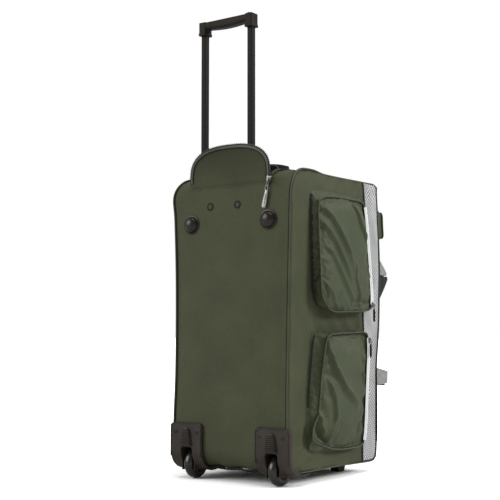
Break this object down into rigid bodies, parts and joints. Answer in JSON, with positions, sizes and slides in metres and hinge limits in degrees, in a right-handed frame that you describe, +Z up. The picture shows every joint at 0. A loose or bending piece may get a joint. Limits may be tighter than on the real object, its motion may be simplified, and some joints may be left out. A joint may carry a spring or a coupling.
{
  "type": "rolling duffel bag",
  "caption": "Upright wheeled duffel bag with a telescopic trolley handle, zipped side pockets, front opening panels, webbing carry handles and skid feet.",
  "frame": {"origin": "on the floor under the middle of the whole object's box", "axes": "+Z up along the bag, +X to the right seen from behind the back panel, +Y from the back panel towards the front opening"},
  "size_m": [0.3786, 0.4596, 1.0623],
  "materials": {
    "fabric": "dark olive woven polyester with a soft sheen",
    "mesh_fabric": "light grey woven mesh",
    "webbing": "grey webbing",
    "black_webbing": "black webbing and cord",
    "moulded_plastic": "brownish black moulded plastic, fine texture",
    "tube_metal": "satin dark anodised",
    "tyre": "smooth black polyurethane",
    "steel": "nickel-plated zip hardware",
    "board": "thin polypropylene board"
  },
  "bodies": {
    "shell": {"back_panel": "fabric", "top_panel": "fabric", "bottom_panel": "fabric", "side_panel_left": "fabric", "side_panel_right": "fabric", "mesh_band_left": "mesh_fabric", "mesh_band_right": "mesh_fabric", "front_top_border": "fabric", "front_bottom_border": "fabric", "side_pocket_upper_left": "fabric", "side_pocket_upper_right": "fabric", "side_pocket_lower_left": "fabric", "side_pocket_lower_right": "fabric", "top_grab_handle": "black_webbing", "outer_tube_left": "tube_metal", "outer_tube_right": "tube_metal", "top_bracket": "moulded_plastic", "bottom_bracket": "moulded_plastic", "trolley_board": "board", "wheel_housing_left": "moulded_plastic", "wheel_housing_right": "moulded_plastic", "axle_left": "steel", "axle_right": "steel", "skid_foot_left": "moulded_plastic", "skid_foot_right": "moulded_plastic", "glide_stud_left": "moulded_plastic", "glide_stud_right": "moulded_plastic", "snap_rivet_left": "moulded_plastic", "snap_rivet_right": "moulded_plastic", "flap_zip_slider": "steel"},
    "trolley_handle": {"inner_tube_left": "tube_metal", "inner_tube_right": "tube_metal", "grip": "moulded_plastic"},
    "release_button": {"release_button": "moulded_plastic"},
    "latch_pin_left": {"latch_pin_left": "steel"},
    "latch_pin_right": {"latch_pin_right": "steel"},
    "wheel_left": {"tyre_left": "tyre", "wheel_hub_left": "moulded_plastic"},
    "wheel_right": {"tyre_right": "tyre", "wheel_hub_right": "moulded_plastic"},
    "stow_flap": {"stow_flap": "fabric"},
    "flap_zip_pull": {"flap_zip_pull": "steel"},
    "front_panel_left": {"front_panel_left": "fabric", "front_pocket_left": "fabric"},
    "front_panel_right": {"front_panel_right": "fabric", "front_pocket_right": "fabric"},
    "carry_handle_left": {"carry_handle_left": "webbing"},
    "carry_handle_right": {"carry_handle_right": "webbing"},
    "main_zip_slider": {"main_zip_slider": "steel"},
    "main_zip_pull": {"main_zip_pull": "steel"},
    "zip_slider_upper_left": {"zip_slider_upper_left": "steel"},
    "zip_pull_upper_left": {"zip_pull_upper_left": "black_webbing"},
    "zip_slider_lower_left": {"zip_slider_lower_left": "steel"},
    "zip_pull_lower_left": {"zip_pull_lower_left": "black_webbing"},
    "zip_slider_upper_right": {"zip_slider_upper_right": "steel"},
    "zip_pull_upper_right": {"zip_pull_upper_right": "black_webbing"},
    "zip_slider_lower_right": {"zip_slider_lower_right": "steel"},
    "zip_pull_lower_right": {"zip_pull_lower_right": "black_webbing"}
  },
  "joints": [
    {"name": "handle_slide", "type": "slide", "parent": "shell", "child": "trolley_handle", "axis": [0, 0, 1], "range_m": [-0.355, 0]},
    {"name": "button_press", "type": "slide", "parent": "trolley_handle", "child": "release_button", "axis": [0, 0, -1], "range_m": [0, 0.0035], "stiffness_N_per_m": 300},
    {"name": "latch_pin_left_slide", "type": "slide", "parent": "trolley_handle", "child": "latch_pin_left", "axis": [1, 0, 0], "range_m": [0, 0.0022]},
    {"name": "latch_pin_right_slide", "type": "slide", "parent": "trolley_handle", "child": "latch_pin_right", "axis": [-1, 0, 0], "range_m": [0, 0.0022]},
    {"name": "wheel_left_spin", "type": "hinge", "parent": "shell", "child": "wheel_left", "pos_m": [-0.1165, -0.18975, 0.035], "axis": [1, 0, 0], "continuous": true},
    {"name": "wheel_right_spin", "type": "hinge", "parent": "shell", "child": "wheel_right", "pos_m": [0.1165, -0.18975, 0.035], "axis": [1, 0, 0], "continuous": true},
    {"name": "flap_hinge", "type": "hinge", "parent": "shell", "child": "stow_flap", "pos_m": [0, -0.22145, 0.672], "axis": [1, 0, 0], "range_deg": [0, 90]},
    {"name": "flap_pull_swing", "type": "hinge", "parent": "shell", "child": "flap_zip_pull", "pos_m": [0.103, -0.22385, 0.656], "axis": [-1, 0, 0], "range_deg": [0, 90]},
    {"name": "front_panel_left_hinge", "type": "hinge", "parent": "shell", "child": "front_panel_left", "pos_m": [-0.155, 0.16275, 0.3625], "axis": [0, 0, 1], "range_deg": [0, 90]},
    {"name": "carry_handle_left_swing", "type": "hinge", "parent": "front_panel_left", "child": "carry_handle_left", "pos_m": [-0.15, 0.22845, 0.345], "axis": [0, 0, 1], "range_deg": [0, 85]},
    {"name": "front_panel_right_hinge", "type": "hinge", "parent": "shell", "child": "front_panel_right", "pos_m": [0.155, 0.16275, 0.3625], "axis": [0, 0, -1], "range_deg": [0, 90]},
    {"name": "carry_handle_right_swing", "type": "hinge", "parent": "front_panel_right", "child": "carry_handle_right", "pos_m": [0.15, 0.22845, 0.345], "axis": [0, 0, -1], "range_deg": [0, 85]},
    {"name": "main_zip_slide", "type": "slide", "parent": "shell", "child": "main_zip_slider", "axis": [0, 0, 1], "range_m": [0, 0.618]},
    {"name": "main_pull_swing", "type": "hinge", "parent": "main_zip_slider", "child": "main_zip_pull", "pos_m": [0, 0.16925, 0.054], "axis": [1, 0, 0], "range_deg": [0, 120]},
    {"name": "zip_slider_upper_left_slide", "type": "slide", "parent": "shell", "child": "zip_slider_upper_left", "axis": [0.0787, 0, 0.9969], "range_m": [0, 0.24]},
    {"name": "zip_pull_upper_left_swing", "type": "hinge", "parent": "zip_slider_upper_left", "child": "zip_pull_upper_left", "pos_m": [-0.18505, 0.10775, 0.399], "axis": [1, 0, 0], "range_deg": [0, 140]},
    {"name": "zip_slider_lower_left_slide", "type": "slide", "parent": "shell", "child": "zip_slider_lower_left", "axis": [-0.0633, 0, 0.998], "range_m": [-0.236, 0.01]},
    {"name": "zip_pull_lower_left_swing", "type": "hinge", "parent": "zip_slider_lower_left", "child": "zip_pull_lower_left", "pos_m": [-0.18273, 0.09125, 0.315], "axis": [1, 0, 0], "range_deg": [0, 140]},
    {"name": "zip_slider_upper_right_slide", "type": "slide", "parent": "shell", "child": "zip_slider_upper_right", "axis": [-0.0787, 0, 0.9969], "range_m": [0, 0.24]},
    {"name": "zip_pull_upper_right_swing", "type": "hinge", "parent": "zip_slider_upper_right", "child": "zip_pull_upper_right", "pos_m": [0.18505, 0.10775, 0.399], "axis": [1, 0, 0], "range_deg": [0, 140]},
    {"name": "zip_slider_lower_right_slide", "type": "slide", "parent": "shell", "child": "zip_slider_lower_right", "axis": [0.0633, 0, 0.998], "range_m": [-0.236, 0.01]},
    {"name": "zip_pull_lower_right_swing", "type": "hinge", "parent": "zip_slider_lower_right", "child": "zip_pull_lower_right", "pos_m": [0.18273, 0.09125, 0.315], "axis": [1, 0, 0], "range_deg": [0, 140]}
  ],
  "couplings": [
    {"joint": "latch_pin_left_slide", "follows": "button_press", "ratio": 0.6},
    {"joint": "latch_pin_right_slide", "follows": "button_press", "ratio": 0.6}
  ]
}
